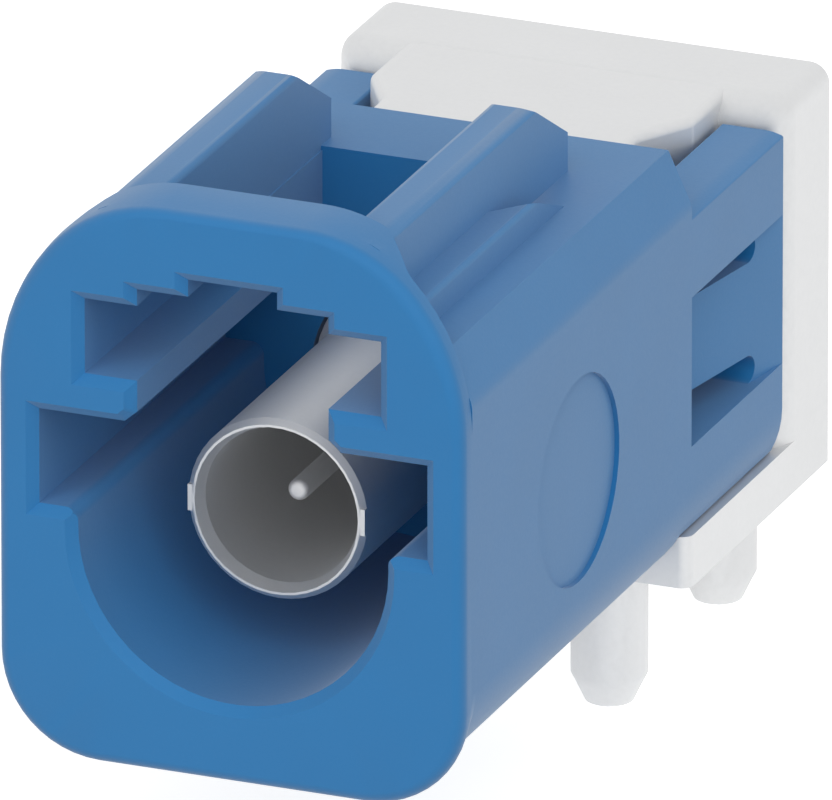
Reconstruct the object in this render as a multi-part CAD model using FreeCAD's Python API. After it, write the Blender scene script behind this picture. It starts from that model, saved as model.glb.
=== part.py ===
import FreeCAD, Part
import math
import os

from FreeCAD import Vector

# Right-angle coaxial connector for a circuit board, in millimetres.
# While a piece is built, X runs across the mouth, Y runs back from the front face of the
# housing and Z runs up from the axis of the tube. Each finished piece is then moved to the
# frame of the board: origin on the board under the signal tail, +Z up, mouth towards -Y.

# Board interface
AXIS_HEIGHT = 4.455
NOSE_REACH = 15.55
POST_PITCH_X = 5.56
POST_PITCH_Y = 5.76
POST_DIAMETER = 1.52
POST_TIP_DIAMETER = 0.97
POST_TIP_LENGTH = 0.58
POST_LENGTH = 2.83

# Mating tube and its contact
TUBE_DIAMETER = 3.7
TUBE_BORE = 3.17
TUBE_RECESS = 2.37
TUBE_OUTER_CHAMFER = 0.11
TUBE_LEAD_IN_WIDTH = 0.105
TUBE_LEAD_IN_DEPTH = 0.3
TUBE_FLAT_HEIGHT = 0.54
TUBE_ROOT_DIAMETER = 4.3
TUBE_ROOT_RECESS = 0.05
PIN_DIAMETER = 0.43
PIN_RECESS = 3.42
PIN_TIP_EDGE = 0.13
PIN_BODY_DIAMETER = 0.95
PIN_SHOULDER_DEPTH = 1.0
INSULATOR_RECESS = 8.4
INSULATOR_LENGTH = 5.0
TAIL_DIAMETER = 0.7
TAIL_SHANK_DIAMETER = 1.1
TAIL_TOP_DIAMETER = 0.36
TAIL_CHAMFER = 0.12
TAIL_RISE = 0.3
CONTACT_OVERHANG = 0.75

# Outline of the housing, as heights above and below the tube's axis
BODY_WIDTH = 9.6
BODY_LENGTH = 11.86
BODY_FLOOR = 4.39
BODY_CORNER = 2.0
DECK_HEIGHT = 4.62
DECK_INSET = 0.5
SHOULDER_HEIGHT = 3.54
SHOULDER_CORNER = 0.6

# Rim round the mouth
RIM_FLOOR = 4.77
RIM_HEIGHT = 6.84
RIM_EDGE_HEIGHT = 6.77
RIM_FLAT_HEIGHT = 6.6
RIM_CORNER = 2.05
RIM_SLANT_RUN = 1.92
RIM_SLANT_DROP = 2.34
RIM_SIDE_RADIUS = 4.3
RIM_TOP_RADIUS = 3.1
RIM_DEPTH = 0.5
RIM_BLEND_START = 0.3
RIM_BLEND_END = 0.7
RIM_EDGE = 0.25
BRIDGE_DEPTH = 1.36
BRIDGE_WIDTH = 5.5
BRIDGE_ROOT_WIDTH = 7.0
BRIDGE_CORNER = 0.35

# Keyed mouth
CAVITY_DEPTH = 9.57
CAVITY_WALL = 1.6
ENTRY_CHAMFER = 0.2
WING_WALL = 0.8
WING_FLOOR = 0.36
WING_HEIGHT = 2.3
NECK_WIDTH = 3.94
KEY_WALL = 1.75
KEY_FLOOR = 3.16
KEY_HEIGHT = 4.69
STEP_HEIGHT = 5.03
CENTRE_KEY_WIDTH = 1.83
CENTRE_KEY_HEIGHT = 5.38
WING_FLOOR_CORNER = 0.25
KEY_LENGTH = 6.1

# Rails, latch window and ridges on top
WINDOW_WIDTH = 4.0
WINDOW_END = 9.57
RAIL_WIDTH = 0.91
RAIL_HEIGHT = 6.535
RAIL_ROOT_WIDTH = 0.92
RAIL_FLAT_WIDTH = 0.68
RAIL_SIDE_HEIGHT = 6.42
RAIL_CROWN = 0.35
RAIL_INNER_EDGE = 0.15
RAIL_OUTER_EDGE = 0.06
RAIL_SLOPE_START = 8.25
RAIL_END = 10.1
RAIL_SLOPE_DROP = 1.12
RIDGE_INSET = 1.25
RIDGE_HEIGHT = 5.245
RIDGE_EDGE = 0.12
RIDGE_INNER_END = 6.0
RIDGE_OUTER_END = 6.77
RIDGE_RAMP_LENGTH = 1.55

# Round recess on each side
DIMPLE_CENTRE = 5.98
DIMPLE_RADIUS = 2.1
DIMPLE_DEPTH = 0.1

# Side arms behind the body, and the catch tab in each
ARM_END = 16.67
ARM_THICKNESS = 1.3
ARM_HEIGHT = 3.342
ARM_SIDE_HEIGHT = 3.27
ARM_FLAT_INSET = 0.25
ARM_CROWN = 0.9
ARM_OUTER_EDGE = 0.05
ARM_INNER_EDGE = 0.06
ARM_FLOOR = 3.33
SIDE_WINDOW_TOP = 1.64
SIDE_WINDOW_FLOOR = 1.46
TAB_TOP = 1.06
TAB_FLOOR = 0.88
SLOT_END = 15.64
TAB_TIP = 13.3
TAB_TIP_DROP = 0.57
TAB_THICKNESS = 1.05

# Core, cap and base of the shell
FIT_GAP = 0.06
CORE_FRONT_WALL = 1.05
CORE_FRONT_WIDTH = 5.4
CORE_SIDE_GAP = 0.12
CORE_TAPER_START = 14.3
CORE_TAPER_END = 15.5
CORE_EDGE = 0.23
CORE_FILLET = 0.195
CORE_CORNER = 0.2
SHELL_HEIGHT = 3.846
SHELL_SIDE_STEP = 0.05
ARM_END_GAP = 0.13
CAP_LENGTH = 2.6
CAP_CORNER = 0.42
CAP_FRONT_EDGE = 0.7
CAP_REAR_EDGE = 0.18
BASE_FRONT = 11.88
BASE_THICKNESS = 1.07
BASE_EDGE = 0.25
CATCH_START = 12.1
CATCH_END = 13.15
CATCH_LAND = 0.25
CATCH_INSET = 0.9

# Chamber for the tail, closed by the cover
CHAMBER_DIAMETER = 2.6
CHAMBER_RISE = 1.6
COVER_DIAMETER = 3.4
COVER_THICKNESS = 1.0
COVER_RECESS = 0.12
CORE_BORE = 2.2
TAIL_INSULATOR_TOP = 0.75
TAIL_INSULATOR_RECESS = 0.1
PRESS_GAP = 0.01

HALF_BODY = BODY_WIDTH / 2
HALF_SHELL = HALF_BODY - SHELL_SIDE_STEP
ARM_INSIDE = HALF_BODY - ARM_THICKNESS
CAVITY_RADIUS = HALF_BODY - CAVITY_WALL
HALF_WING = HALF_BODY - WING_WALL
HALF_KEY = HALF_BODY - KEY_WALL
HALF_RIDGE = HALF_BODY - RIDGE_INSET
BACK_WALL_END = CAVITY_DEPTH + CORE_FRONT_WALL
CORE_FRONT = BACK_WALL_END + FIT_GAP
CORE_FLOOR = AXIS_HEIGHT - BASE_THICKNESS
CAP_FRONT = ARM_END + ARM_END_GAP
SHELL_END = CAP_FRONT + CAP_LENGTH
OVERLAP = 0.5
MARGIN = 1.0
TOLERANCE = 1e-3
SAMPLE_SHARES = (0.05, 0.5, 0.95)
BLEND_STEPS = 6
EDGE_STEPS = 5
CROWN_STEPS = 4


def rounded_wire(corners, y):
    """Closed wire in the plane at depth y. Each corner is (x, z, radius)."""
    count = len(corners)
    points = [Vector(x, y, z) for x, z, radius in corners]
    starts = []
    ends = []
    middles = []
    for index in range(count):
        here = points[index]
        radius = corners[index][2]
        before = (points[index - 1] - here).normalize()
        after = (points[(index + 1) % count] - here).normalize()
        if radius <= 0:
            starts.append(here)
            ends.append(here)
            middles.append(None)
            continue
        half = before.getAngle(after) / 2
        reach = radius / math.tan(half)
        bisector = (before + after).normalize()
        centre = here + bisector * (radius / math.sin(half))
        starts.append(here + before * reach)
        ends.append(here + after * reach)
        middles.append(centre - bisector * radius)
    edges = []
    for index in range(count):
        if middles[index] is not None:
            arc = Part.Arc(starts[index], middles[index], ends[index])
            edges.append(arc.toShape())
        following = (index + 1) % count
        if ends[index].distanceToPoint(starts[following]) > TOLERANCE ** 2:
            edges.append(Part.LineSegment(ends[index], starts[following]).toShape())
    return Part.Wire(edges)


def prism(corners, start, end):
    """Solid with a rounded outline across X and Z, from depth start to depth end."""
    face = Part.Face(rounded_wire(corners, start))
    return face.extrude(Vector(0, end - start, 0))


def plan_prism(corners, low, high):
    """Solid with a rounded outline across X and Y. Each corner is (x, y, radius)."""
    upright = prism([(x, y, radius) for x, y, radius in corners], 0, high - low)
    upright.rotate(Vector(0, 0, 0), Vector(1, 0, 0), -90)
    upright.translate(Vector(0, 0, high))
    return upright


def slab(x0, x1, y0, y1, z0, z1):
    """Rectangular block between two corners."""
    return Part.makeBox(x1 - x0, y1 - y0, z1 - z0, Vector(x0, y0, z0))


def rod(radius, start, end, x=0, z=0):
    """Cylinder along Y."""
    return Part.makeCylinder(radius, end - start, Vector(x, start, z), Vector(0, 1, 0))


def upright_rod(radius, low, high, x, y):
    """Cylinder along Z."""
    return Part.makeCylinder(radius, high - low, Vector(x, y, low), Vector(0, 0, 1))


def turned(profile):
    """Solid of revolution about the tube's axis. The profile is a list of (radius, depth)."""
    points = [Vector(radius, depth, 0) for radius, depth in profile]
    wire = Part.makePolygon(points + [points[0]])
    return Part.Face(wire).revolve(Vector(0, 0, 0), Vector(0, 1, 0), 360)


def mirrored(shape):
    """The shape on the other side of the plane of symmetry."""
    return shape.mirror(Vector(0, 0, 0), Vector(1, 0, 0))


def both_sides(shape):
    """The shape fused with its mirror image."""
    return shape.fuse(mirrored(shape))


def symmetric(right_half):
    """Outline from its right half, listed from the bottom up, each corner (x, z, radius)."""
    left_half = [(-x, z, radius) for x, z, radius in reversed(right_half)]
    return right_half + left_half


def edges_where(shape, test):
    """Edges whose every sampled point passes the test."""
    chosen = []
    for edge in shape.Edges:
        first, last = edge.ParameterRange
        points = [edge.valueAt(first + (last - first) * share) for share in SAMPLE_SHARES]
        if all(test(point) for point in points):
            chosen.append(edge)
    return chosen


def near(value, target):
    """True where two lengths are the same."""
    return abs(value - target) < TOLERANCE


def body_outline():
    """Section of the housing behind the rim."""
    return symmetric([
        (HALF_BODY, -BODY_FLOOR, BODY_CORNER),
        (HALF_BODY, SHOULDER_HEIGHT, SHOULDER_CORNER),
        (HALF_BODY - DECK_INSET, DECK_HEIGHT, 0),
    ])


def rim_outline(top, inset):
    """Outline of the rim at one depth, drawn in by the inset at its sides and floor."""
    return symmetric([
        (HALF_BODY - inset, -RIM_FLOOR + inset, RIM_CORNER - inset),
        (HALF_BODY - inset, top - RIM_SLANT_DROP, RIM_SIDE_RADIUS - inset),
        (HALF_BODY - inset - RIM_SLANT_RUN, top, RIM_TOP_RADIUS - inset),
    ])


def rim():
    """Flange with a crowned top, deeper between the rails where it bridges the window."""
    wires = []
    for step in range(EDGE_STEPS + 1):
        angle = math.pi / 2 * step / EDGE_STEPS
        depth = RIM_EDGE * (1 - math.cos(angle))
        inset = RIM_EDGE * (1 - math.sin(angle))
        top = RIM_FLAT_HEIGHT + (RIM_EDGE_HEIGHT - RIM_FLAT_HEIGHT) * math.sin(angle)
        wires.append(rounded_wire(rim_outline(top, inset), depth))
    for step in range(1, CROWN_STEPS + 1):
        share = step / CROWN_STEPS
        depth = RIM_EDGE + (BRIDGE_DEPTH - RIM_EDGE) * share
        top = RIM_HEIGHT - (RIM_HEIGHT - RIM_EDGE_HEIGHT) * (1 - share) ** 2
        wires.append(rounded_wire(rim_outline(top, 0), depth))
    whole = Part.makeLoft(wires, True, True)
    upper = slab(-BODY_WIDTH, BODY_WIDTH, -OVERLAP, RIM_DEPTH, 0, BODY_WIDTH)
    lower = slab(-BODY_WIDTH, BODY_WIDTH, -OVERLAP, RIM_BLEND_START, -BODY_WIDTH, 0)
    middle = bridge_plan()
    return whole.common(upper).fuse([whole.common(lower), whole.common(middle), rim_blend()])


def bridge_plan():
    """Upright block that limits the bridge, with rounded shoulders seen from above."""
    root = BRIDGE_ROOT_WIDTH / 2
    half = BRIDGE_WIDTH / 2
    right = [
        (root + BRIDGE_CORNER, -OVERLAP, 0),
        (root + BRIDGE_CORNER, RIM_DEPTH, 0),
        (root, RIM_DEPTH, BRIDGE_CORNER),
        (half, BRIDGE_DEPTH, BRIDGE_CORNER),
    ]
    return plan_prism(symmetric(right), DECK_HEIGHT - OVERLAP, BODY_WIDTH)


def rim_blend():
    """Hollow curve from the deeper floor of the rim up to the floor of the body."""
    length = RIM_BLEND_END - RIM_BLEND_START
    drop = RIM_FLOOR - BODY_FLOOR
    wires = []
    for step in range(BLEND_STEPS + 1):
        share = step / BLEND_STEPS
        floor = BODY_FLOOR + drop * (1 + math.cos(math.pi * share)) / 2
        corner = BODY_CORNER + (RIM_CORNER - BODY_CORNER) * (1 + math.cos(math.pi * share)) / 2
        outline = symmetric([(HALF_BODY, -floor, corner), (HALF_BODY, 0, 0)])
        wires.append(rounded_wire(outline, RIM_BLEND_START + length * share))
    return Part.makeLoft(wires, True, True)


def cavity_outline(grow):
    """Section of the keyed mouth above the round part, every wall moved out by grow."""
    return symmetric([
        (HALF_WING + grow, WING_FLOOR - grow, 0),
        (HALF_WING + grow, WING_HEIGHT + grow, 0),
        (NECK_WIDTH / 2 + grow, WING_HEIGHT + grow, 0),
        (NECK_WIDTH / 2 + grow, KEY_FLOOR - grow, 0),
        (HALF_KEY + grow, KEY_FLOOR - grow, 0),
        (HALF_KEY + grow, KEY_HEIGHT + grow, 0),
        (NECK_WIDTH / 2 + grow, KEY_HEIGHT + grow, 0),
        (NECK_WIDTH / 2 + grow, STEP_HEIGHT + grow, 0),
        (CENTRE_KEY_WIDTH / 2 + grow, STEP_HEIGHT + grow, 0),
        (CENTRE_KEY_WIDTH / 2 + grow, CENTRE_KEY_HEIGHT + grow, 0),
    ])


def cavity():
    """Everything taken out of the mouth, with its lead-in chamfer."""
    keyed = prism(cavity_outline(0), -OVERLAP, KEY_LENGTH)
    half = NECK_WIDTH / 2
    deep = slab(-half, half, 0, CAVITY_DEPTH, WING_FLOOR, STEP_HEIGHT)
    wings = slab(-HALF_WING, HALF_WING, 0, CAVITY_DEPTH, WING_FLOOR, WING_HEIGHT)
    barrel = rod(CAVITY_RADIUS, -OVERLAP, CAVITY_DEPTH)
    hollow = barrel.fuse([keyed, deep, wings]).removeSplitter()
    meeting = math.sqrt(CAVITY_RADIUS ** 2 - WING_FLOOR ** 2)
    corners = edges_where(hollow, lambda point: near(abs(point.x), meeting)
                          and near(point.z, WING_FLOOR))
    hollow = hollow.makeFillet(WING_FLOOR_CORNER, corners)
    entry_wires = [
        rounded_wire(cavity_outline(ENTRY_CHAMFER), 0),
        rounded_wire(cavity_outline(0), ENTRY_CHAMFER),
    ]
    keyed_entry = Part.makeLoft(entry_wires, True, True)
    round_entry = turned([
        (0, 0),
        (CAVITY_RADIUS + ENTRY_CHAMFER, 0),
        (CAVITY_RADIUS, ENTRY_CHAMFER),
        (0, ENTRY_CHAMFER),
    ])
    return hollow.fuse([keyed_entry, round_entry])


def rail():
    """Right-hand rail beside the window, with a drafted outer face and a sloping rear end."""
    inner = WINDOW_WIDTH / 2
    outline = [
        (inner, DECK_HEIGHT - OVERLAP, 0),
        (inner + RAIL_ROOT_WIDTH, DECK_HEIGHT - OVERLAP, 0),
        (inner + RAIL_WIDTH, RAIL_SIDE_HEIGHT, RAIL_OUTER_EDGE),
        (inner + RAIL_FLAT_WIDTH, RAIL_HEIGHT, RAIL_CROWN),
        (inner, RAIL_HEIGHT, RAIL_INNER_EDGE),
    ]
    bar = prism(outline, RIM_DEPTH, RAIL_END)
    low = RAIL_HEIGHT - RAIL_SLOPE_DROP
    wedge_points = [
        Vector(0, RAIL_SLOPE_START, RAIL_HEIGHT),
        Vector(0, RAIL_END, low),
        Vector(0, RAIL_END + MARGIN, low),
        Vector(0, RAIL_END + MARGIN, RAIL_HEIGHT + MARGIN),
        Vector(0, RAIL_SLOPE_START, RAIL_HEIGHT + MARGIN),
    ]
    wedge = Part.Face(Part.makePolygon(wedge_points + [wedge_points[0]]))
    return bar.cut(wedge.extrude(Vector(BODY_WIDTH, 0, 0)))


def ridge():
    """Raised wall over the right-hand key, beside the rail, ending in an oblique ramp."""
    inner = WINDOW_WIDTH / 2
    outer = HALF_RIDGE
    outline = [
        (inner, DECK_HEIGHT - OVERLAP, 0),
        (outer, DECK_HEIGHT - OVERLAP, 0),
        (outer, RIDGE_HEIGHT, RIDGE_EDGE),
        (inner, RIDGE_HEIGHT, 0),
    ]
    bar = prism(outline, RIM_DEPTH, RAIL_END)
    root = inner + RAIL_ROOT_WIDTH
    top_inner = Vector(root, RIDGE_INNER_END, RIDGE_HEIGHT)
    top_outer = Vector(outer, RIDGE_OUTER_END, RIDGE_HEIGHT)
    foot = Vector(outer, RIDGE_OUTER_END + RIDGE_RAMP_LENGTH, DECK_HEIGHT)
    normal = (top_outer - top_inner).cross(foot - top_outer).normalize()
    plane = Part.makePlane(BODY_LENGTH, BODY_LENGTH, top_outer, normal)
    plane.translate(top_outer - plane.CenterOfMass)
    return bar.cut(plane.extrude(normal * BODY_WIDTH))


def arm():
    """Right-hand side arm behind the body, with its window and the catch tab."""
    outline = [
        (ARM_INSIDE, -ARM_FLOOR, 0),
        (HALF_BODY, -ARM_FLOOR, 0),
        (HALF_BODY, ARM_SIDE_HEIGHT, ARM_OUTER_EDGE),
        (HALF_BODY - ARM_FLAT_INSET, ARM_HEIGHT, ARM_CROWN),
        (ARM_INSIDE, ARM_HEIGHT, ARM_INNER_EDGE),
    ]
    shape = prism(outline, BODY_LENGTH - OVERLAP, ARM_END)
    shape = shape.common(prism(body_outline(), 0, ARM_END))
    inside = ARM_INSIDE - MARGIN
    opening = slab(inside, BODY_WIDTH, BODY_LENGTH, ARM_END + MARGIN, -SIDE_WINDOW_FLOOR, SIDE_WINDOW_TOP)
    web = slab(ARM_INSIDE, HALF_BODY, SLOT_END, ARM_END, -SIDE_WINDOW_FLOOR, SIDE_WINDOW_TOP)
    slot_ends = []
    for low, high in ((-SIDE_WINDOW_FLOOR, -TAB_FLOOR), (TAB_TOP, SIDE_WINDOW_TOP)):
        radius = (high - low) / 2
        middle = (high + low) / 2
        along = Vector(1, 0, 0)
        base = Vector(inside, SLOT_END - radius, middle)
        block = slab(ARM_INSIDE, HALF_BODY, SLOT_END - radius, SLOT_END, low, high)
        slot_ends.append(block.cut(Part.makeCylinder(radius, BODY_WIDTH, base, along)))
    ramped = ramp(-SIDE_WINDOW_FLOOR, SIDE_WINDOW_TOP)
    tab = ramp(-TAB_FLOOR, TAB_TOP)
    filling = [block.common(ramped) for block in [web] + slot_ends]
    return shape.cut(opening).fuse(filling + [tab])


def ramp(low, high):
    """Wall of the flexing tab, flush at its rear root and dropping inwards to its free end."""
    outer = HALF_BODY
    tip_outer = HALF_BODY - TAB_TIP_DROP
    points = [
        Vector(outer, ARM_END, low),
        Vector(tip_outer, TAB_TIP, low),
        Vector(tip_outer - TAB_THICKNESS, TAB_TIP, low),
        Vector(ARM_INSIDE, SLOT_END, low),
        Vector(ARM_INSIDE, ARM_END, low),
    ]
    face = Part.Face(Part.makePolygon(points + [points[0]]))
    return face.extrude(Vector(0, 0, high - low))


def rear_hollow():
    """Space in the housing that takes the front of the shell's core."""
    half = CORE_FRONT_WIDTH / 2 + FIT_GAP
    top = SHELL_HEIGHT + FIT_GAP
    floor = CORE_FLOOR + FIT_GAP
    outline = [
        (half, -floor, 0),
        (half, top, CORE_EDGE),
        (-half, top, CORE_EDGE),
        (-half, -floor, 0),
    ]
    return prism(outline, BACK_WALL_END, BODY_LENGTH + OVERLAP)


def housing():
    """Moulded shroud."""
    body = prism(body_outline(), RIM_DEPTH, BODY_LENGTH)
    shape = body.fuse([rim(), both_sides(rail()), both_sides(ridge()), both_sides(arm())])
    window = slab(
        -WINDOW_WIDTH / 2, WINDOW_WIDTH / 2, BRIDGE_DEPTH, WINDOW_END,
        STEP_HEIGHT - OVERLAP, RIM_HEIGHT + OVERLAP,
    )
    collar = TUBE_ROOT_DIAMETER / 2 + FIT_GAP
    tube_hole = rod(collar, CAVITY_DEPTH - OVERLAP, BACK_WALL_END + OVERLAP)
    shape = shape.cut([cavity(), window, tube_hole, rear_hollow()])
    side = Vector(1, 0, 0)
    base = Vector(HALF_BODY - DIMPLE_DEPTH, DIMPLE_CENTRE, 0)
    dimple = Part.makeCylinder(DIMPLE_RADIUS, OVERLAP, base, side)
    shape = shape.cut([dimple, mirrored(dimple)])
    return shape.removeSplitter()


def post(x, y):
    """Round ground post with a tapered tip, standing down from the base."""
    seat = -AXIS_HEIGHT
    taper = seat - POST_LENGTH + POST_TIP_LENGTH
    shank = upright_rod(POST_DIAMETER / 2, taper, seat + OVERLAP, x, y)
    tip = Part.makeCone(
        POST_TIP_DIAMETER / 2, POST_DIAMETER / 2, POST_TIP_LENGTH,
        Vector(x, y, taper - POST_TIP_LENGTH), Vector(0, 0, 1),
    )
    return shank.fuse(tip)


def posts():
    """The four posts on their grid about the signal tail."""
    return [
        post(side * POST_PITCH_X / 2, NOSE_REACH + along * POST_PITCH_Y / 2)
        for side in (-1, 1)
        for along in (-1, 1)
    ]


def tube():
    """Outer contact with its lead-ins, a root collar and the two parting flats."""
    radius = TUBE_DIAMETER / 2
    bore = TUBE_BORE / 2
    root = CAVITY_DEPTH + TUBE_ROOT_RECESS
    end = CORE_FRONT + OVERLAP
    profile = [
        (bore + TUBE_LEAD_IN_WIDTH, TUBE_RECESS),
        (radius - TUBE_OUTER_CHAMFER, TUBE_RECESS),
        (radius, TUBE_RECESS + TUBE_OUTER_CHAMFER),
        (radius, root),
        (TUBE_ROOT_DIAMETER / 2, root),
        (TUBE_ROOT_DIAMETER / 2, end),
        (bore, end),
        (bore, TUBE_RECESS + TUBE_LEAD_IN_DEPTH),
    ]
    shape = turned(profile)
    flat_reach = math.sqrt(radius ** 2 - (TUBE_FLAT_HEIGHT / 2) ** 2)
    flat = slab(flat_reach, radius + MARGIN, 0, root, -radius, radius)
    half = TUBE_FLAT_HEIGHT / 2
    land = slab(
        radius - TUBE_OUTER_CHAMFER, flat_reach,
        TUBE_RECESS, TUBE_RECESS + TUBE_OUTER_CHAMFER, -half, half,
    )
    return shape.cut([flat, mirrored(flat)]).fuse([land, mirrored(land)])


def core():
    """Block behind the tube, narrow in front and wide at the cap, with a catch on each side."""
    narrow = CORE_FRONT_WIDTH / 2
    wide = ARM_INSIDE - CORE_SIDE_GAP
    plan = [
        (narrow, CORE_FRONT, CORE_CORNER),
        (narrow, CORE_TAPER_START, CORE_CORNER),
        (wide, CORE_TAPER_END, CORE_CORNER),
        (wide, CAP_FRONT + OVERLAP, 0),
        (-wide, CAP_FRONT + OVERLAP, 0),
        (-wide, CORE_TAPER_END, CORE_CORNER),
        (-narrow, CORE_TAPER_START, CORE_CORNER),
        (-narrow, CORE_FRONT, CORE_CORNER),
    ]
    block = plan_prism(plan, -CORE_FLOOR - FIT_GAP, SHELL_HEIGHT)
    top_edges = edges_where(block, lambda point: near(point.z, SHELL_HEIGHT)
                            and CORE_FRONT + TOLERANCE < point.y < CAP_FRONT + OVERLAP - TOLERANCE)
    block = block.makeFillet(CORE_FILLET, top_edges)
    return block.fuse(both_sides(catch()))


def catch():
    """Wedge on the core that the free end of the right-hand tab snaps behind."""
    root = CORE_FRONT_WIDTH / 2
    reach = HALF_BODY - CATCH_INSET
    points = [
        Vector(root - OVERLAP, CATCH_START, -TAB_FLOOR),
        Vector(root, CATCH_START, -TAB_FLOOR),
        Vector(reach, CATCH_END - CATCH_LAND, -TAB_FLOOR),
        Vector(reach, CATCH_END, -TAB_FLOOR),
        Vector(root - OVERLAP, CATCH_END, -TAB_FLOOR),
    ]
    face = Part.Face(Part.makePolygon(points + [points[0]]))
    return face.extrude(Vector(0, 0, TAB_FLOOR + TAB_TOP))


def cap():
    """Rear cap, wider than the core, with rounded top corners."""
    half = HALF_SHELL
    outline = symmetric([(half, -AXIS_HEIGHT, 0), (half, SHELL_HEIGHT, CAP_CORNER)])
    block = prism(outline, CAP_FRONT, SHELL_END)
    front = edges_where(block, lambda point: near(point.y, CAP_FRONT)
                        and near(abs(point.x), half))
    block = block.makeFillet(CAP_FRONT_EDGE, front)
    rear = edges_where(block, lambda point: near(point.y, SHELL_END)
                       and point.z > -AXIS_HEIGHT + TOLERANCE)
    return block.makeFillet(CAP_REAR_EDGE, rear)


def base():
    """Base plate under the arms, seated on the board."""
    half = HALF_SHELL
    plan = [
        (half, BASE_FRONT, BASE_EDGE),
        (half, CAP_FRONT + CAP_FRONT_EDGE + OVERLAP, 0),
        (-half, CAP_FRONT + CAP_FRONT_EDGE + OVERLAP, 0),
        (-half, BASE_FRONT, BASE_EDGE),
    ]
    return plan_prism(plan, -AXIS_HEIGHT, -AXIS_HEIGHT + BASE_THICKNESS)


def shell():
    """Die-casting with the tube, core, cap, base and posts, and its inner bores."""
    shape = core().fuse([tube(), cap(), base()] + posts())
    insulator_end = INSULATOR_RECESS + INSULATOR_LENGTH
    bores = [
        rod(TUBE_BORE / 2, CORE_FRONT - OVERLAP, insulator_end),
        rod(CORE_BORE / 2, insulator_end - OVERLAP, NOSE_REACH),
        upright_rod(CHAMBER_DIAMETER / 2, -AXIS_HEIGHT - OVERLAP, CHAMBER_RISE, 0, NOSE_REACH),
        rod(COVER_DIAMETER / 2, SHELL_END - COVER_RECESS - COVER_THICKNESS, SHELL_END + OVERLAP),
        rod(CHAMBER_DIAMETER / 2, NOSE_REACH, SHELL_END),
    ]
    return shape.cut(bores).removeSplitter()


def front_insulator():
    """Bush in the tube, with a lip that holds the contact's shoulder."""
    outer = TUBE_BORE / 2 - PRESS_GAP
    lip = PIN_DIAMETER / 2 + PRESS_GAP
    inner = PIN_BODY_DIAMETER / 2 + PRESS_GAP
    start = INSULATOR_RECESS
    return turned([
        (lip, start),
        (outer, start),
        (outer, start + INSULATOR_LENGTH),
        (inner, start + INSULATOR_LENGTH),
        (inner, start + PIN_SHOULDER_DEPTH),
        (lip, start + PIN_SHOULDER_DEPTH),
    ])


def centre_contact():
    """Turned pin with a rounded tip, a thicker body and a cross hole for the tail."""
    tip = PIN_DIAMETER / 2
    body = PIN_BODY_DIAMETER / 2
    shoulder = INSULATOR_RECESS + PIN_SHOULDER_DEPTH + PRESS_GAP
    end = NOSE_REACH + CONTACT_OVERHANG
    profile = [(0, end), (0, PIN_RECESS)]
    for step in range(EDGE_STEPS + 1):
        angle = math.pi / 2 * step / EDGE_STEPS
        radius = tip - PIN_TIP_EDGE * (1 - math.sin(angle))
        profile.append((radius, PIN_RECESS + PIN_TIP_EDGE * (1 - math.cos(angle))))
    shape = turned(profile + [(tip, shoulder), (body, shoulder), (body, end)])
    hole = upright_rod(TAIL_TOP_DIAMETER / 2 + PRESS_GAP, -body - MARGIN, body + MARGIN, 0, NOSE_REACH)
    return shape.cut(hole)


def signal_tail():
    """Stepped upright pin from the contact's cross hole to below the board."""
    top = PIN_BODY_DIAMETER / 2 + TAIL_RISE
    seat = -PIN_BODY_DIAMETER / 2 - TAIL_RISE
    step = -AXIS_HEIGHT + TAIL_INSULATOR_RECESS
    bottom = -AXIS_HEIGHT - POST_LENGTH
    tail = upright_rod(TAIL_DIAMETER / 2, bottom, step + OVERLAP, 0, NOSE_REACH)
    tip = edges_where(tail, lambda point: near(point.z, bottom))
    tail = tail.makeChamfer(TAIL_CHAMFER, tip)
    shank = upright_rod(TAIL_SHANK_DIAMETER / 2, step, seat, 0, NOSE_REACH)
    pin = upright_rod(TAIL_TOP_DIAMETER / 2, seat - OVERLAP, top, 0, NOSE_REACH)
    return tail.fuse([shank, pin]).removeSplitter()


def tail_insulator():
    """Bush round the tail in the upright bore."""
    low = -AXIS_HEIGHT + TAIL_INSULATOR_RECESS
    outer = upright_rod(CHAMBER_DIAMETER / 2 - PRESS_GAP, low, -TAIL_INSULATOR_TOP, 0, NOSE_REACH)
    inner = upright_rod(TAIL_SHANK_DIAMETER / 2 + PRESS_GAP, low - MARGIN, 0, 0, NOSE_REACH)
    return outer.cut(inner)


def rear_cover():
    """Plug pressed into the rear opening."""
    end = SHELL_END - COVER_RECESS
    disc = rod(COVER_DIAMETER / 2 - PRESS_GAP, end - COVER_THICKNESS, end)
    rims = edges_where(disc, lambda point: near(point.y, end))
    return disc.makeChamfer(TAIL_CHAMFER, rims)


NODES = {
    "housing": housing,
    "shell": shell,
    "front_insulator": front_insulator,
    "centre_contact": centre_contact,
    "signal_tail": signal_tail,
    "tail_insulator": tail_insulator,
    "rear_cover": rear_cover,
}

os.makedirs("parts", exist_ok=True)
for node, make in NODES.items():
    piece = make()
    piece.translate(Vector(0, -NOSE_REACH, AXIS_HEIGHT))
    piece.exportStep("parts/" + node + ".step")
    print(node, piece.isValid(), len(piece.Solids), round(piece.Volume, 3))
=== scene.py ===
"""Finish and studio for a right-angle mini coax connector, laid out as an add-on.

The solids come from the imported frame. The script gives each of them its finish and
smooth shading, and adds the floor, the lights and the camera. Lengths are in metres.
"""

import math

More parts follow.
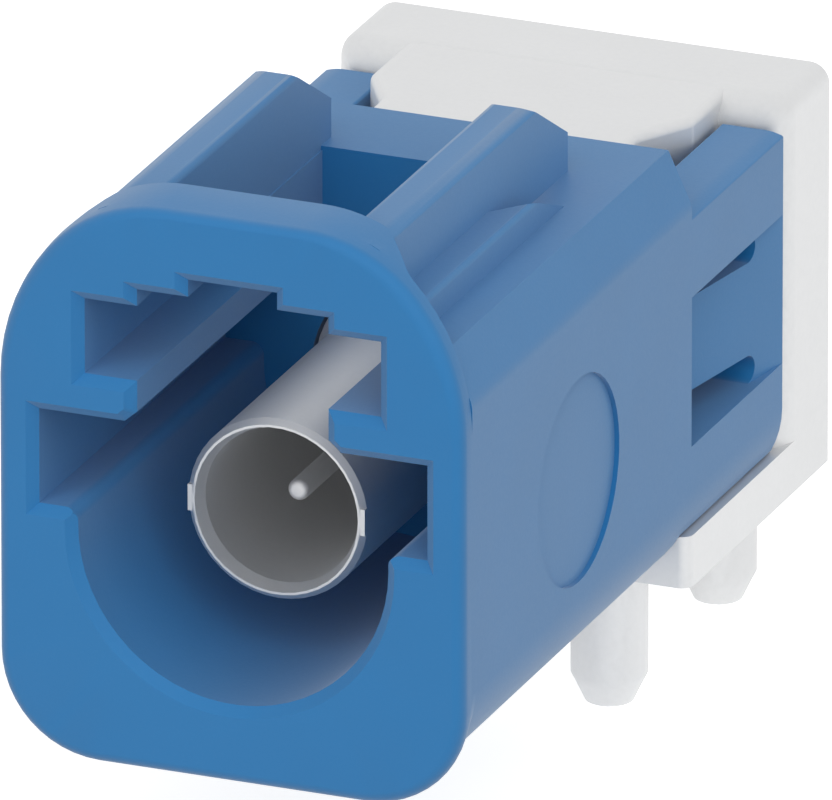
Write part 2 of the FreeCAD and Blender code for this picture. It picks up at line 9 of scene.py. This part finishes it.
import bpy
from bpy.props import FloatProperty, FloatVectorProperty, PointerProperty
from bpy.types import Operator, Panel, PropertyGroup
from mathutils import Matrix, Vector


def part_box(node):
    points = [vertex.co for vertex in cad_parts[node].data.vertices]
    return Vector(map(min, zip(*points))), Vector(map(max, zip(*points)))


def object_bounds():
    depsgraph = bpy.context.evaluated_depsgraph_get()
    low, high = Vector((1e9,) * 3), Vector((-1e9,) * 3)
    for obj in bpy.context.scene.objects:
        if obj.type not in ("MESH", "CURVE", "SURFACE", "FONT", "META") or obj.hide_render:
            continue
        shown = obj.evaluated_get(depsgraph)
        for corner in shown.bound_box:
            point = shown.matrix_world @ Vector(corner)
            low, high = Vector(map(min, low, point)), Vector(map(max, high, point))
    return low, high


bl_info = {
    "name": "Mini Coax Connector Finish",
    "version": (1, 0, 0),
    "blender": (4, 5, 0),
    "location": "View3D > Sidebar > Connector",
    "description": "Finishes and studio for a right-angle mini coax connector",
    "category": "Object",
}

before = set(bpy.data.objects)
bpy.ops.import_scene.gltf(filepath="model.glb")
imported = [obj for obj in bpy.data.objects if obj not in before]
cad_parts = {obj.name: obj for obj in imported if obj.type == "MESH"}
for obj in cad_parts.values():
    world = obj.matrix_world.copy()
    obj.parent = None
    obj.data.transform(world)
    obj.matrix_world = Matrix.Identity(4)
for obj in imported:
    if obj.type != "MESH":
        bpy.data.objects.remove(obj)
CAD_BOUNDS = [list(corner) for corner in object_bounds()]

MILLIMETRE = 0.001
WHITE = (1, 1, 1, 1)

# Solids that share a finish
HOUSING = ("housing",)
CASTINGS = ("shell", "rear_cover")
INSULATORS = ("front_insulator", "tail_insulator")
CONTACTS = ("centre_contact", "signal_tail")

# Smooth shading. The tube's mouth is the front of the shell.
JOIN_DISTANCE = 0.0002 * MILLIMETRE
FLAT_FACE_WEIGHT = 50
LEAD_IN_DEPTH = 0.3 * MILLIMETRE
LEAD_IN_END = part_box("shell")[0][1] + LEAD_IN_DEPTH
LEAD_IN_TURN = math.radians(15)
SAME_DEPTH = 0.005 * MILLIMETRE

# Range that nearly all of a noise pattern lies in
NOISE_LOW = 0.3
NOISE_HIGH = 0.7

# Moulded plastic
PLASTIC_CLOUD = 2.4 * MILLIMETRE
PLASTIC_CLOUD_DETAIL = 3
PLASTIC_GRAIN_DETAIL = 4
PLASTIC_COLOUR_SHARE = 0.02
PLASTIC_ROUGHNESS_SPREAD = 0.03
PLASTIC_IOR = 1.58
SHEEN_WEIGHT = 0.33
SHEEN_ROUGHNESS = 0.5

# Plated metal
METAL_CLOUD = 1.6 * MILLIMETRE
METAL_CLOUD_DETAIL = 3
METAL_GRAIN_DETAIL = 5
METAL_COLOUR_SHARE = 0.006
METAL_ROUGHNESS_SPREAD = 0.035

# Studio
FLOOR_GAP = 0.01 * MILLIMETRE
FLOOR_GREY = (0.5, 0.5, 0.5, 1)
TOWARDS_LIGHT = (0.35, -0.86, 0.37)
SENSOR_WIDTH = 36
NEAREST_SEEN = 0.01
FARTHEST_SEEN = 10


# Settings that a user would change


class ConnectorColours(PropertyGroup):
    """Colours of the connector's four materials."""

    housing: FloatVectorProperty(
        name="Housing",
        description="Blue of the moulded housing",
        subtype="COLOR",
        size=3,
        min=0,
        max=1,
        default=(0.002, 0.164, 0.421),
    )
    shell: FloatVectorProperty(
        name="Shell",
        description="Pale plating of the cast shell and its rear cover",
        subtype="COLOR",
        size=3,
        min=0,
        max=1,
        default=(0.78, 0.785, 0.79),
    )
    insulator: FloatVectorProperty(
        name="Insulators",
        description="Grey of the insulating bushes",
        subtype="COLOR",
        size=3,
        min=0,
        max=1,
        default=(0.2, 0.2, 0.2),
    )
    contact: FloatVectorProperty(
        name="Contacts",
        description="Bright plating of the centre contact and the signal tail",
        subtype="COLOR",
        size=3,
        min=0,
        max=1,
        default=(0.76, 0.76, 0.765),
    )


class ConnectorSurfaces(PropertyGroup):
    """Roughness and fine relief of the connector's surfaces."""

    plastic_roughness: FloatProperty(
        name="Plastic roughness",
        description="Roughness of the moulded housing",
        min=0,
        max=1,
        default=0.55,
    )
    casting_roughness: FloatProperty(
        name="Casting roughness",
        description="Roughness of the plated shell",
        min=0,
        max=1,
        default=0.66,
    )
    contact_roughness: FloatProperty(
        name="Contact roughness",
        description="Roughness of the turned contacts",
        min=0,
        max=1,
        default=0.62,
    )
    plastic_grain: FloatProperty(
        name="Mould grain",
        description="Width of the grain that the mould leaves on the plastic",
        unit="LENGTH",
        min=0,
        precision=5,
        default=0.07 * MILLIMETRE,
    )
    casting_grain: FloatProperty(
        name="Casting grain",
        description="Width of the soft unevenness of the cast surface",
        unit="LENGTH",
        min=0,
        precision=5,
        default=0.12 * MILLIMETRE,
    )
    relief: FloatProperty(
        name="Grain height",
        description="Height of the grain on plastic and castings",
        unit="LENGTH",
        min=0,
        precision=6,
        default=0.0012 * MILLIMETRE,
    )
    crease: FloatProperty(
        name="Crease angle",
        description="Edges that turn by more than this stay sharp",
        subtype="ANGLE",
        min=0,
        max=math.pi,
        default=math.radians(40),
    )


class ConnectorStudio(PropertyGroup):
    """Lights, floor and camera."""

    sun_strength: FloatProperty(
        name="Key light",
        description="Strength of the large soft light from beside the camera",
        min=0,
        default=0.73 * math.pi,
    )
    sun_softness: FloatProperty(
        name="Key softness",
        description="Angle that the key light spans, seen from the connector",
        subtype="ANGLE",
        min=0,
        max=math.pi,
        default=math.radians(110),
    )
    ambient: FloatProperty(
        name="Ambient",
        description="Strength of the even light from all round",
        min=0,
        default=0.49,
    )
    floor_width: FloatProperty(
        name="Floor width",
        description="Width of the square floor",
        unit="LENGTH",
        min=0,
        default=1.6,
    )
    floor_glow: FloatProperty(
        name="Floor glow",
        description="Share of white added where the floor is seen, so that it meets the backdrop",
        min=0,
        max=1,
        default=0.82,
    )
    lens: FloatProperty(
        name="Lens",
        description="Focal length of the camera in millimetres",
        min=1,
        default=1500,
    )
    distance: FloatProperty(
        name="Camera distance",
        description="Distance from the camera to the point it aims at",
        unit="LENGTH",
        min=0,
        default=0.6699,
    )
    aim: FloatVectorProperty(
        name="Camera aim",
        description="Point that the camera looks at",
        subtype="TRANSLATION",
        unit="LENGTH",
        size=3,
        default=(-0.000033, -0.005953, 0.004083),
    )
    azimuth: FloatProperty(
        name="Camera azimuth",
        description="Turn of the camera about the upright axis, from the front to the right",
        subtype="ANGLE",
        default=math.radians(22.01),
    )
    elevation: FloatProperty(
        name="Camera elevation",
        description="Height of the camera above the horizon",
        subtype="ANGLE",
        default=math.radians(21.43),
    )


# Smooth shading


def compare(nodes, links, value, operation, bound):
    """Whether a value is greater than a bound, or as good as equal to it."""
    node = nodes.new("FunctionNodeCompare")
    node.data_type = "FLOAT"
    node.operation = operation
    node.inputs["B"].default_value = bound
    if operation == "EQUAL":
        node.inputs["Epsilon"].default_value = SAME_DEPTH
    links.new(value, node.inputs["A"])
    return node.outputs["Result"]


def combine(nodes, links, operation, first, second):
    """Two yes-or-no answers made one by AND or OR."""
    node = nodes.new("FunctionNodeBooleanMath")
    node.operation = operation
    links.new(first, node.inputs[0])
    links.new(second, node.inputs[1])
    return node.outputs["Boolean"]


def crease_group():
    """Geometry nodes that shade a piece smooth and keep its true edges sharp.

    The shallow edge where the tube's lead-in ends is under the crease angle, so it is
    found by its depth and stays crisp too.
    """
    name = "Smooth with creases"
    if name in bpy.data.node_groups:
        return bpy.data.node_groups[name]
    group = bpy.data.node_groups.new(name, "GeometryNodeTree")
    group.is_modifier = True
    group.interface.new_socket("Geometry", in_out="INPUT", socket_type="NodeSocketGeometry")
    group.interface.new_socket("Geometry", in_out="OUTPUT", socket_type="NodeSocketGeometry")
    nodes = group.nodes
    links = group.links
    source = nodes.new("NodeGroupInput")
    turn = nodes.new("GeometryNodeInputMeshEdgeAngle").outputs["Unsigned Angle"]
    place = nodes.new("GeometryNodeInputPosition")
    axes = nodes.new("ShaderNodeSeparateXYZ")
    links.new(place.outputs["Position"], axes.inputs["Vector"])
    limit = bpy.context.scene.connector_surfaces.crease
    sharp = compare(nodes, links, turn, "GREATER_THAN", limit)
    bent = compare(nodes, links, turn, "GREATER_THAN", LEAD_IN_TURN)
    at_lead_in = compare(nodes, links, axes.outputs["Y"], "EQUAL", LEAD_IN_END)
    lead_in = combine(nodes, links, "AND", at_lead_in, bent)
    creased = combine(nodes, links, "OR", sharp, lead_in)
    faces = nodes.new("GeometryNodeSetShadeSmooth")
    faces.domain = "FACE"
    edges = nodes.new("GeometryNodeSetShadeSmooth")
    edges.domain = "EDGE"
    edges.inputs["Shade Smooth"].default_value = False
    result = nodes.new("NodeGroupOutput")
    links.new(source.outputs["Geometry"], faces.inputs["Geometry"])
    links.new(faces.outputs["Geometry"], edges.inputs["Geometry"])
    links.new(creased, edges.inputs["Selection"])
    links.new(edges.outputs["Geometry"], result.inputs["Geometry"])
    return group


def shade_smooth(piece):
    """Join a solid's triangles and shade its rounds smooth, with flat faces kept flat."""
    join = piece.modifiers.new("Join triangles", "WELD")
    join.merge_threshold = JOIN_DISTANCE
    crease = piece.modifiers.new("Creases", "NODES")
    crease.node_group = crease_group()
    flats = piece.modifiers.new("Flat faces", "WEIGHTED_NORMAL")
    flats.mode = "FACE_AREA"
    flats.weight = FLAT_FACE_WEIGHT
    flats.keep_sharp = True


# Materials


def empty_tree(owner):
    """Nodes and links of a material or world, with nothing in them yet."""
    owner.use_nodes = True
    owner.node_tree.nodes.clear()
    return owner.node_tree.nodes, owner.node_tree.links


def new_material(name):
    """Node material with its shader and a place on the object's own axes."""
    material = bpy.data.materials.new(name)
    nodes, links = empty_tree(material)
    output = nodes.new("ShaderNodeOutputMaterial")
    shader = nodes.new("ShaderNodeBsdfPrincipled")
    place = nodes.new("ShaderNodeTexCoord")
    links.new(shader.outputs["BSDF"], output.inputs["Surface"])
    return material, shader, place


def noise(material, place, width, detail):
    """Noise whose blotches are about one width across."""
    node = material.node_tree.nodes.new("ShaderNodeTexNoise")
    node.inputs["Scale"].default_value = 1 / width
    node.inputs["Detail"].default_value = detail
    material.node_tree.links.new(place.outputs["Object"], node.inputs["Vector"])
    return node


def vary_colour(material, shader, pattern, colour, share):
    """Let the colour drift a little either way with the pattern."""
    nodes = material.node_tree.nodes
    links = material.node_tree.links
    ramp = nodes.new("ShaderNodeValToRGB")
    dark, light = ramp.color_ramp.elements
    dark.position = NOISE_LOW
    dark.color = (*[channel * (1 - share) for channel in colour], 1)
    light.position = NOISE_HIGH
    light.color = (*[min(channel * (1 + share), 1) for channel in colour], 1)
    links.new(pattern.outputs["Fac"], ramp.inputs["Fac"])
    links.new(ramp.outputs["Color"], shader.inputs["Base Color"])


def vary_roughness(material, shader, pattern, middle, spread):
    """Let the roughness drift either way with the pattern."""
    nodes = material.node_tree.nodes
    links = material.node_tree.links
    span = nodes.new("ShaderNodeMapRange")
    span.inputs["From Min"].default_value = NOISE_LOW
    span.inputs["From Max"].default_value = NOISE_HIGH
    span.inputs["To Min"].default_value = middle - spread
    span.inputs["To Max"].default_value = middle + spread
    links.new(pattern.outputs["Fac"], span.inputs["Value"])
    links.new(span.outputs["Result"], shader.inputs["Roughness"])


def add_relief(material, shader, pattern, height):
    """Raise the pattern from the surface by a true height."""
    nodes = material.node_tree.nodes
    links = material.node_tree.links
    bump = nodes.new("ShaderNodeBump")
    bump.inputs["Strength"].default_value = 1
    bump.inputs["Distance"].default_value = height
    links.new(pattern.outputs["Fac"], bump.inputs["Height"])
    links.new(bump.outputs["Normal"], shader.inputs["Normal"])


def moulded_plastic(name, colour, roughness, grain, relief):
    """Satin moulded plastic: faint flow clouds in the colour and a fine mould grain."""
    material, shader, place = new_material(name)
    clouds = noise(material, place, PLASTIC_CLOUD, PLASTIC_CLOUD_DETAIL)
    texture = noise(material, place, grain, PLASTIC_GRAIN_DETAIL)
    vary_colour(material, shader, clouds, colour, PLASTIC_COLOUR_SHARE)
    vary_roughness(material, shader, texture, roughness, PLASTIC_ROUGHNESS_SPREAD)
    add_relief(material, shader, texture, relief)
    shader.inputs["IOR"].default_value = PLASTIC_IOR
    shader.inputs["Sheen Weight"].default_value = SHEEN_WEIGHT
    shader.inputs["Sheen Roughness"].default_value = SHEEN_ROUGHNESS
    return material


def plated_metal(name, colour, roughness, grain, relief):
    """Plated metal: soft unevenness of the base metal under an even bright finish."""
    material, shader, place = new_material(name)
    clouds = noise(material, place, METAL_CLOUD, METAL_CLOUD_DETAIL)
    texture = noise(material, place, grain, METAL_GRAIN_DETAIL)
    vary_colour(material, shader, clouds, colour, METAL_COLOUR_SHARE)
    vary_roughness(material, shader, texture, roughness, METAL_ROUGHNESS_SPREAD)
    add_relief(material, shader, texture, relief)
    shader.inputs["Metallic"].default_value = 1
    return material


def dress(names, material):
    """Give the named solids one material and smooth shading."""
    for name in names:
        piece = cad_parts[name]
        piece.data.materials.clear()
        piece.data.materials.append(material)
        shade_smooth(piece)


class CONNECTOR_OT_housing(Operator):
    """Finish the moulded housing"""

    bl_idname = "connector.housing"
    bl_label = "Housing"
    bl_options = {"REGISTER", "UNDO"}

    def execute(self, context):
        colours = context.scene.connector_colours
        surfaces = context.scene.connector_surfaces
        material = moulded_plastic(
            "Blue moulded plastic",
            colours.housing,
            surfaces.plastic_roughness,
            surfaces.plastic_grain,
            surfaces.relief,
        )
        dress(HOUSING, material)
        return {"FINISHED"}


class CONNECTOR_OT_shell(Operator):
    """Finish the cast shell and its rear cover"""

    bl_idname = "connector.shell"
    bl_label = "Shell and cover"
    bl_options = {"REGISTER", "UNDO"}

    def execute(self, context):
        colours = context.scene.connector_colours
        surfaces = context.scene.connector_surfaces
        material = plated_metal(
            "Pale plated casting",
            colours.shell,
            surfaces.casting_roughness,
            surfaces.casting_grain,
            surfaces.relief / 2,
        )
        dress(CASTINGS, material)
        return {"FINISHED"}


class CONNECTOR_OT_insulators(Operator):
    """Finish the two insulating bushes"""

    bl_idname = "connector.insulators"
    bl_label = "Insulators"
    bl_options = {"REGISTER", "UNDO"}

    def execute(self, context):
        colours = context.scene.connector_colours
        surfaces = context.scene.connector_surfaces
        material = moulded_plastic(
            "Grey insulating plastic",
            colours.insulator,
            surfaces.plastic_roughness,
            surfaces.plastic_grain,
            surfaces.relief,
        )
        dress(INSULATORS, material)
        return {"FINISHED"}


class CONNECTOR_OT_contacts(Operator):
    """Finish the centre contact and the signal tail"""

    bl_idname = "connector.contacts"
    bl_label = "Contacts"
    bl_options = {"REGISTER", "UNDO"}

    def execute(self, context):
        colours = context.scene.connector_colours
        surfaces = context.scene.connector_surfaces
        material = plated_metal(
            "Bright plated contact",
            colours.contact,
            surfaces.contact_roughness,
            surfaces.plastic_grain,
            surfaces.relief / 2,
        )
        dress(CONTACTS, material)
        return {"FINISHED"}


# Studio


def seen_or_mirrored(nodes, links):
    """One where a ray is from the camera, a reflection or a view through glass."""
    path = nodes.new("ShaderNodeLightPath")
    either = nodes.new("ShaderNodeMath")
    either.operation = "MAXIMUM"
    any_of = nodes.new("ShaderNodeMath")
    any_of.operation = "MAXIMUM"
    links.new(path.outputs["Is Camera Ray"], either.inputs[0])
    links.new(path.outputs["Is Glossy Ray"], either.inputs[1])
    links.new(either.outputs["Value"], any_of.inputs[0])
    links.new(path.outputs["Is Transmission Ray"], any_of.inputs[1])
    return any_of


def white_surroundings(ambient):
    """World that shows white and lights the connector evenly at the ambient strength."""
    world = bpy.data.worlds.new("White surroundings")
    nodes, links = empty_tree(world)
    output = nodes.new("ShaderNodeOutputWorld")
    background = nodes.new("ShaderNodeBackground")
    background.inputs["Color"].default_value = WHITE
    strength = nodes.new("ShaderNodeMapRange")
    strength.inputs["To Min"].default_value = ambient
    strength.inputs["To Max"].default_value = 1
    links.new(seen_or_mirrored(nodes, links).outputs["Value"], strength.inputs["Value"])
    links.new(strength.outputs["Result"], background.inputs["Strength"])
    links.new(background.outputs["Background"], output.inputs["Surface"])
    bpy.context.scene.world = world


def white_floor(width, height, glow):
    """Plain pale floor under the posts, which keeps the connector's shadow."""
    mesh = bpy.data.meshes.new("studio_floor")
    half = width / 2
    corners = [
        (-half, -half, height),
        (half, -half, height),
        (half, half, height),
        (-half, half, height),
    ]
    mesh.from_pydata(corners, [], [(0, 1, 2, 3)])
    floor = bpy.data.objects.new("studio_floor", mesh)
    bpy.context.scene.collection.objects.link(floor)
    material = bpy.data.materials.new("White floor")
    nodes, links = empty_tree(material)
    output = nodes.new("ShaderNodeOutputMaterial")
    paper = nodes.new("ShaderNodeBsdfDiffuse")
    paper.inputs["Color"].default_value = FLOOR_GREY
    lift = nodes.new("ShaderNodeEmission")
    strength = nodes.new("ShaderNodeMath")
    strength.operation = "MULTIPLY"
    strength.inputs[1].default_value = glow
    both = nodes.new("ShaderNodeAddShader")
    links.new(seen_or_mirrored(nodes, links).outputs["Value"], strength.inputs[0])
    links.new(strength.outputs["Value"], lift.inputs["Strength"])
    links.new(paper.outputs["BSDF"], both.inputs[0])
    links.new(lift.outputs["Emission"], both.inputs[1])
    links.new(both.outputs["Shader"], output.inputs["Surface"])
    mesh.materials.append(material)


def key_light(strength, softness):
    """Large soft light from beside the camera."""
    light = bpy.data.lights.new("Key light", "SUN")
    light.energy = strength
    light.angle = softness
    lamp = bpy.data.objects.new("Key light", light)
    lamp.visible_glossy = False
    lamp.rotation_euler = Vector(TOWARDS_LIGHT).to_track_quat("Z", "Y").to_euler()
    bpy.context.scene.collection.objects.link(lamp)


def photo_camera(studio):
    """Camera at the photograph's viewing angle."""
    camera = bpy.data.cameras.new("Camera")
    camera.lens = studio.lens
    camera.sensor_width = SENSOR_WIDTH
    camera.clip_start = NEAREST_SEEN
    camera.clip_end = FARTHEST_SEEN
    holder = bpy.data.objects.new("Camera", camera)
    back = Vector((
        math.sin(studio.azimuth) * math.cos(studio.elevation),
        -math.cos(studio.azimuth) * math.cos(studio.elevation),
        math.sin(studio.elevation),
    ))
    holder.location = Vector(studio.aim) + back * studio.distance
    holder.rotation_euler = back.to_track_quat("Z", "Y").to_euler()
    bpy.context.scene.collection.objects.link(holder)
    bpy.context.scene.camera = holder


class CONNECTOR_OT_stage(Operator):
    """Set up the floor, the lights and the camera"""

    bl_idname = "connector.stage"
    bl_label = "Studio"
    bl_options = {"REGISTER", "UNDO"}

    def execute(self, context):
        studio = context.scene.connector_studio
        context.scene.view_settings.view_transform = "Standard"
        white_surroundings(studio.ambient)
        white_floor(studio.floor_width, CAD_BOUNDS[0][2] - FLOOR_GAP, studio.floor_glow)
        key_light(studio.sun_strength, studio.sun_softness)
        photo_camera(studio)
        return {"FINISHED"}


class CONNECTOR_PT_sidebar(Panel):
    """Steps that finish the connector"""

    bl_idname = "CONNECTOR_PT_sidebar"
    bl_label = "Mini coax connector"
    bl_space_type = "VIEW_3D"
    bl_region_type = "UI"
    bl_category = "Connector"

    def draw(self, context):
        layout = self.layout
        scene = context.scene
        for settings in (scene.connector_colours, scene.connector_surfaces, scene.connector_studio):
            box = layout.box()
            for name in settings.bl_rna.properties.keys():
                if name not in ("rna_type", "name"):
                    box.prop(settings, name)
        for step in STEPS:
            layout.operator(step.bl_idname)


STEPS = (
    CONNECTOR_OT_housing,
    CONNECTOR_OT_shell,
    CONNECTOR_OT_insulators,
    CONNECTOR_OT_contacts,
    CONNECTOR_OT_stage,
)
CLASSES = (ConnectorColours, ConnectorSurfaces, ConnectorStudio, *STEPS, CONNECTOR_PT_sidebar)


def register():
    """Add the settings, the steps and the sidebar to Blender."""
    for cls in CLASSES:
        bpy.utils.register_class(cls)
    bpy.types.Scene.connector_colours = PointerProperty(type=ConnectorColours)
    bpy.types.Scene.connector_surfaces = PointerProperty(type=ConnectorSurfaces)
    bpy.types.Scene.connector_studio = PointerProperty(type=ConnectorStudio)


def unregister():
    """Take the settings, the steps and the sidebar out of Blender."""
    del bpy.types.Scene.connector_studio
    del bpy.types.Scene.connector_surfaces
    del bpy.types.Scene.connector_colours
    for cls in reversed(CLASSES):
        bpy.utils.unregister_class(cls)


def main():
    """Finish every piece and set the stage."""
    register()
    bpy.ops.connector.housing()
    bpy.ops.connector.shell()
    bpy.ops.connector.insulators()
    bpy.ops.connector.contacts()
    bpy.ops.connector.stage()


if __name__ == "__main__":
    main()
